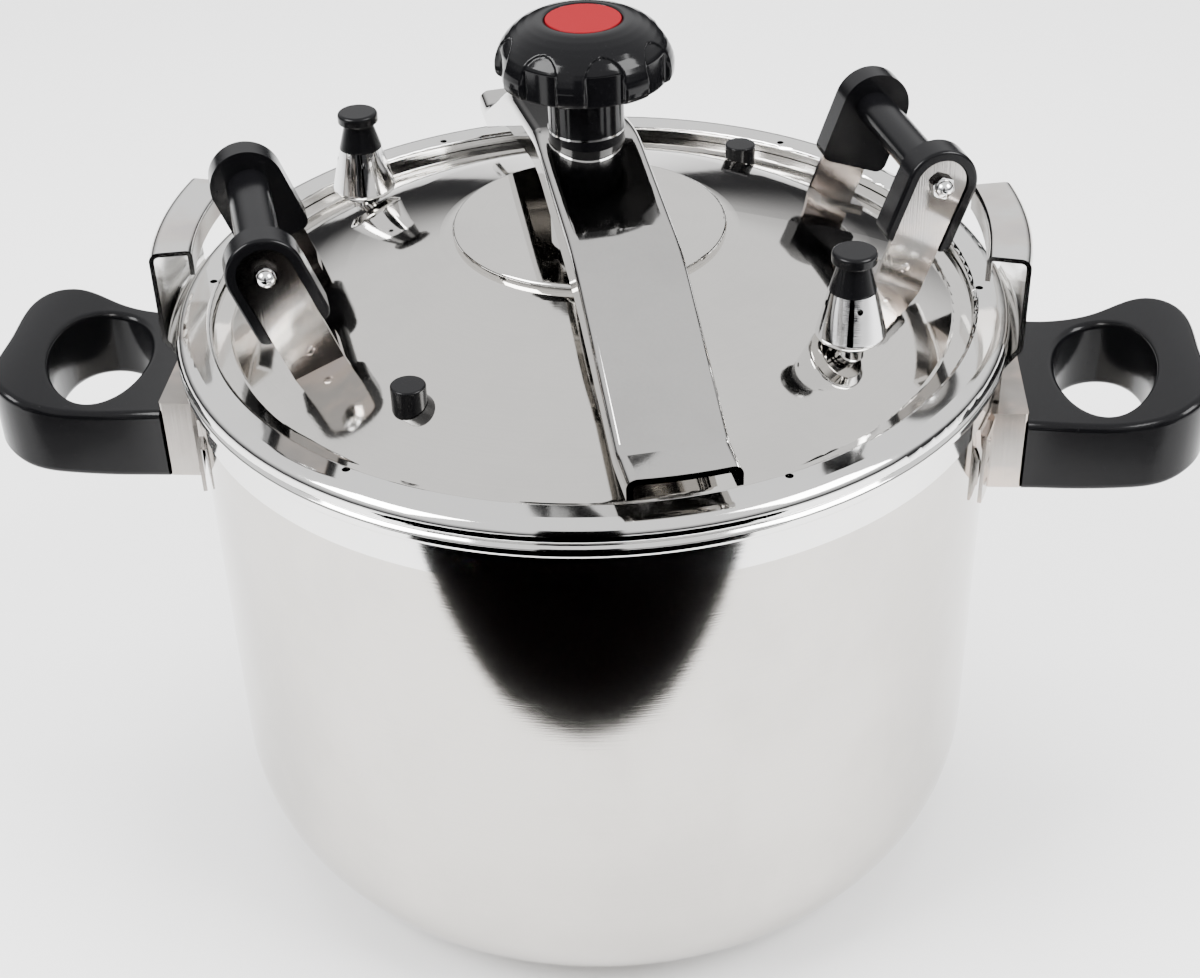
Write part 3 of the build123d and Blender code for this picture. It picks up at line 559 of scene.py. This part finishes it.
@dataclass
class Clamp:
    """Beam with its sleeve, screw and knob. Sizes of the knob are in mm, angles in degrees."""

    scallops: int = 8
    scallop_turn: float = 17.7
    scallop_half: float = 10.0
    scallop_spring: float = 441.5
    scallop_floor: float = 38.7
    scallop_lip: float = 0.9
    edge_width: float = 1.1
    steps_round: int = 400
    row_step: float = 0.7
    plain_radius: float = 26.0
    skirt_low: float = 429.9
    outline: list[tuple[float, float]] = field(
        default_factory=lambda: [
            (18.8, 430.3), (19.4, 429.8), (26.0, 429.6), (37.4, 429.6), (39.6, 429.9),
            (41.0, 430.9), (41.8, 432.6), (42.0, 435.0), (41.9, 437.6), (41.3, 440.4),
            (40.2, 443.4), (38.7, 446.4), (36.6, 449.2), (33.9, 451.9), (30.6, 454.3),
            (26.8, 456.1), (23.0, 457.2), (19.6, 457.7), (18.5, 457.5), (18.05, 456.7),
            (18.0, 455.2), (12.0, 455.2), (11.6, 454.8), (11.6, 446.0), (8.2, 446.0),
            (8.2, 437.2), (18.7, 437.2), (18.8, 436.8),
        ]
    )

    def finishes(self) -> None:
        """Dresses the CAD nodes of the clamp."""
        dress(["beam", "beam_nut"], BEAM_STEEL)
        dress(["screw", "sleeve_ring", "knob_nut"], FITTING_STEEL)
        dress(["sleeve", "sleeve_base"], KNOB_BLACK)
        dress(["knob_badge"], BADGE_RED)

    def rows(self) -> list[tuple[float, float]]:
        """Radius and height of every ring of the head, in millimetres, evenly spaced."""
        found = []
        closed = self.outline + self.outline[:1]
        for (r0, z0), (r1, z1) in zip(closed, closed[1:]):
            parts = max(1, round(math.hypot(r1 - r0, z1 - z0) / self.row_step))
            if max(r0, r1) < self.plain_radius or max(z0, z1) <= self.skirt_low:
                parts = 1
            for number in range(parts):
                share = number / parts
                found.append((r0 + (r1 - r0) * share, z0 + (z1 - z0) * share))
        return found

    def cut_at(self, radius: float, height: float, angle: float) -> float:
        """Depth of the arched finger scallops at a point of the head, in millimetres.

        Args:
            radius: distance from the axis.
            height: height of the point.
            angle: angle about the axis, in radians.

        Returns:
            How far the surface is set back.
        """
        if radius < self.plain_radius:
            return 0.0
        step = 2 * math.pi / self.scallops
        away = abs((angle - math.radians(self.scallop_turn) + step / 2) % step - step / 2) * radius
        over = max(0.0, height - self.scallop_spring)
        if over >= self.scallop_half:
            return 0.0
        inside = math.sqrt(self.scallop_half ** 2 - over ** 2) - away
        share = min(1.0, max(0.0, inside / self.edge_width))
        share = share * share * (3 - 2 * share)
        return share * max(radius - self.scallop_floor, self.scallop_lip)

    def knob_head(self) -> None:
        """Makes the scalloped head, which stands in for the plainer CAD solid."""
        mesh = bmesh.new()
        rings = []
        for radius, height in self.rows():
            ring = []
            for step in range(self.steps_round):
                angle = 2 * math.pi * step / self.steps_round
                reach = (radius - self.cut_at(radius, height, angle)) * MM
                ring.append(
                    mesh.verts.new((reach * math.cos(angle), reach * math.sin(angle), height * MM))
                )
            rings.append(ring)
        for ring, after in zip(rings, rings[1:] + rings[:1]):
            for step in range(self.steps_round):
                other = (step + 1) % self.steps_round
                mesh.faces.new((ring[step], ring[other], after[other], after[step]))
        bmesh.ops.recalc_face_normals(mesh, faces=mesh.faces)
        made = bpy.data.meshes.new("knob_head_scalloped")
        mesh.to_mesh(made)
        mesh.free()
        head = new_piece("knob_head_scalloped", made, KNOB_BLACK)
        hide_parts("knob_head")
        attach(head, "screw")
        LOG.info("knob_head_scalloped: %d scallops", self.scallops)

    def build(self) -> None:
        """Makes and dresses everything on the clamp."""
        self.finishes()
        self.knob_head()


@dataclass
class Fittings:
    """Moving parts of the pressure valves and the safety plugs."""

    def build(self) -> None:
        """Dresses the weights, caps and plugs."""
        dress(["valve_weight_", "plug_keeper_"], FITTING_STEEL)
        dress(["valve_cap_", "safety_plug_"], VALVE_BLACK)


@dataclass(frozen=True)
class Lamp:
    """One square soft light. Polished surfaces show it only if it is mirrored."""

    name: str
    at: tuple[float, float, float]
    aim: tuple[float, float, float]
    side: float
    power: float
    mirrored: bool = True


@dataclass(frozen=True)
class Card:
    """One black card that only reflections see: a rectangle, or an ellipse if it is round."""

    name: str
    at: tuple[float, float, float]
    half: tuple[float, float]
    aim: tuple[float, float, float]
    is_round: bool = False


LAMPS = (
    Lamp("key_left", (-1.7, -1.0, 2.1), (0, 0, 0.2), 1.3, 105.0),
    Lamp("key_right", (1.8, -0.7, 1.9), (0, 0, 0.2), 1.3, 90.0),
    Lamp("top", (0.0, 0.5, 2.6), (0, 0, 0.3), 1.8, 110.0, mirrored=False),
)
CARDS = (
    Card("flag_front", (0.0, -1.33, 0.004), (1.08, 0.918), (0.0, -1.33, 1.0), is_round=True),
    Card("flag_stand", (0.0, -1.9, 0.75), (0.34, 0.75), (0.0, 0.0, 0.75)),
)


@dataclass
class Studio:
    """Floor, light, dark flags that give the steel something to reflect, and the camera."""

    camera_at: tuple[float, float, float] = (0.0709, -0.8630, 0.7985)
    camera_down: float = 0.609392
    camera_heading: float = 0.080816
    camera_roll: float = -0.0313
    lens: float = 59.27
    floor_half: float = 6.0
    round_corners: int = 48
    room_band: tuple[float, float] = (0.03, 0.42)
    room_dark: tuple[float, float, float] = (0.03, 0.03, 0.032)
    room_pale: tuple[float, float, float] = (0.98, 0.98, 0.985)
    room_seen: tuple[float, float, float] = (0.62, 0.62, 0.62)
    room_strength: float = 1.3

    def floor(self) -> None:
        """Lays a large plain floor."""
        mesh = bpy.data.meshes.new("floor")
        half = self.floor_half
        corners = [(-half, -half, 0), (half, -half, 0), (half, half, 0), (-half, half, 0)]
        mesh.from_pydata(corners, [], [(0, 1, 2, 3)])
        new_piece("floor", mesh, FLOOR)

    def outline(self, card: Card) -> list[tuple[float, float, float]]:
        """Corners of a card that lies flat at the origin."""
        count = self.round_corners if card.is_round else 4
        turn = 0.0 if card.is_round else math.pi / 4
        scale = 1.0 if card.is_round else math.sqrt(2)
        angles = [turn + 2 * math.pi * step / count for step in range(count)]
        across, along = (size * scale for size in card.half)
        return [(across * math.cos(angle), along * math.sin(angle), 0.0) for angle in angles]

    def hang(self, card: Card) -> None:
        """Adds one card.

        Args:
            card: the card to add.
        """
        finish = bpy.data.materials.new(card.name)
        finish.use_nodes = True
        tree = Tree(finish.node_tree)
        glow = tree.add("ShaderNodeEmission", {"Strength": 0.0})
        tree.add("ShaderNodeOutputMaterial", {"Surface": glow.outputs[0]})
        points = self.outline(card)
        mesh = bpy.data.meshes.new(card.name)
        mesh.from_pydata(points, [], [tuple(range(len(points)))])
        facing = (Vector(card.aim) - Vector(card.at)).to_track_quat("Z", "Y").to_matrix().to_4x4()
        mesh.transform(Matrix.Translation(card.at) @ facing)
        mesh.materials.append(finish)
        item = bpy.data.objects.new(card.name, mesh)
        bpy.context.scene.collection.objects.link(item)
        item.visible_camera = False
        item.visible_shadow = False
        item.visible_diffuse = False
        item.visible_transmission = False

    def light(self, lamp: Lamp) -> None:
        """Adds one light.

        Args:
            lamp: the light to add.
        """
        data = bpy.data.lights.new(lamp.name, "AREA")
        data.shape = "SQUARE"
        data.size = lamp.side
        data.energy = lamp.power
        item = bpy.data.objects.new(lamp.name, data)
        item.location = lamp.at
        item.rotation_mode = "QUATERNION"
        item.rotation_quaternion = (Vector(lamp.aim) - Vector(lamp.at)).to_track_quat("-Z", "Y")
        item.visible_glossy = lamp.mirrored
        bpy.context.scene.collection.objects.link(item)

    def sky(self) -> None:
        """Surrounds the scene with a pale room. Only reflections see how dark its horizon is."""
        world = bpy.data.worlds.new("pale_room")
        bpy.context.scene.world = world
        world.use_nodes = True
        tree = Tree(world.node_tree)
        way = tree.add("ShaderNodeTexCoord").outputs["Generated"]
        parts = tree.add("ShaderNodeSeparateXYZ", {0: way})
        up = tree.band(parts.outputs["Z"], *self.room_band)
        colour = tree.blend(up, self.room_dark, self.room_pale)
        seen = tree.add("ShaderNodeLightPath").outputs["Is Camera Ray"]
        colour = tree.blend(seen, colour, self.room_seen)
        back = tree.add("ShaderNodeBackground", {"Color": colour, "Strength": self.room_strength})
        tree.add("ShaderNodeOutputWorld", {"Surface": back.outputs[0]})

    def camera(self) -> None:
        """Sets the camera in front of the cooker and above it, a little turned and rolled."""
        down, heading, roll = self.camera_down, self.camera_heading, self.camera_roll
        flat = math.cos(down)
        forward = Vector((-math.sin(heading) * flat, math.cos(heading) * flat, -math.sin(down)))
        right = forward.cross(Vector((0, 0, 1))).normalized()
        upward = right.cross(forward)
        tilted = math.cos(roll) * right + math.sin(roll) * upward
        top = -math.sin(roll) * right + math.cos(roll) * upward
        lens = bpy.data.cameras.new("camera")
        lens.lens = self.lens
        lens.sensor_width = 36.0
        lens.clip_start = 0.01
        item = bpy.data.objects.new("camera", lens)
        axes = Matrix((tilted, top, -forward)).transposed().to_4x4()
        item.matrix_world = Matrix.Translation(self.camera_at) @ axes
        bpy.context.scene.collection.objects.link(item)
        bpy.context.scene.camera = item

    def build(self) -> None:
        """Sets the whole stage."""
        self.floor()
        self.sky()
        for lamp in LAMPS:
            self.light(lamp)
        for card in CARDS:
            self.hang(card)
        self.camera()
        LOG.info("stage is set")


def main() -> None:
    """Builds every sub-assembly and the stage."""
    logging.basicConfig(level=logging.INFO, format="%(name)s %(message)s")
    row = SpotRow()
    Pot().build(row)
    Lid().build(row)
    Clamp().build()
    Fittings().build()
    Studio().build()


if __name__ == "__main__":
    main()
